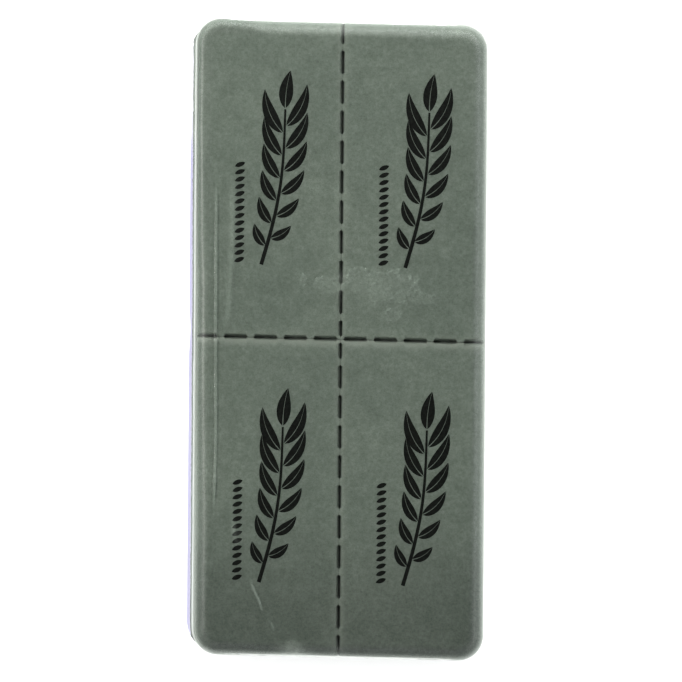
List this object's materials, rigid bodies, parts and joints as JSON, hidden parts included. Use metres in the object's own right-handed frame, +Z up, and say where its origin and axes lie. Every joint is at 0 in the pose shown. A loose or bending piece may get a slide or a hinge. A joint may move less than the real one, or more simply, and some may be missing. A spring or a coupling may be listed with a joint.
{
  "type": "perforated foam brick",
  "caption": "Flat grey-green foam block with rounded corners, perforated into quarters and held in a clear shrink-film sleeve.",
  "frame": {"origin": "middle of the underside's bounding rectangle, at the level of the surface that the block lies on", "axes": "+Z up out of the printed face, +Y along the block towards the upper pads, +X to the right of the printed face"},
  "size_m": [0.0624, 0.1344, 0.015],
  "materials": {
    "foam": "fine-celled rigid foam, matt, grey-green",
    "film": "clear shrink film, glossy, with fine wrinkles",
    "ink": "black ink printed on the foam's cells"
  },
  "bodies": {
    "film": {"film_sleeve": "film", "film_end_lip_upper": "film", "film_end_lip_lower": "film"},
    "pad_upper_left": {"foam_pad_upper_left": "foam"},
    "pad_upper_right": {"foam_pad_upper_right": "foam"},
    "pad_lower_left": {"foam_pad_lower_left": "foam"},
    "pad_lower_right": {"foam_pad_lower_right": "foam"}
  },
  "joints": [
    {"name": "slide_upper_left", "type": "slide", "parent": "film", "child": "pad_upper_left", "axis": [0, 1, 0], "range_m": [0, 0.072], "deforming": ["film_end_lip_upper"]},
    {"name": "slide_upper_right", "type": "slide", "parent": "film", "child": "pad_upper_right", "axis": [0, 1, 0], "range_m": [0, 0.072], "deforming": ["film_end_lip_upper"]},
    {"name": "slide_lower_left", "type": "slide", "parent": "film", "child": "pad_lower_left", "axis": [0, -1, 0], "range_m": [0, 0.072], "deforming": ["film_end_lip_lower"]},
    {"name": "slide_lower_right", "type": "slide", "parent": "film", "child": "pad_lower_right", "axis": [0, -1, 0], "range_m": [0, 0.072], "deforming": ["film_end_lip_lower"]}
  ]
}
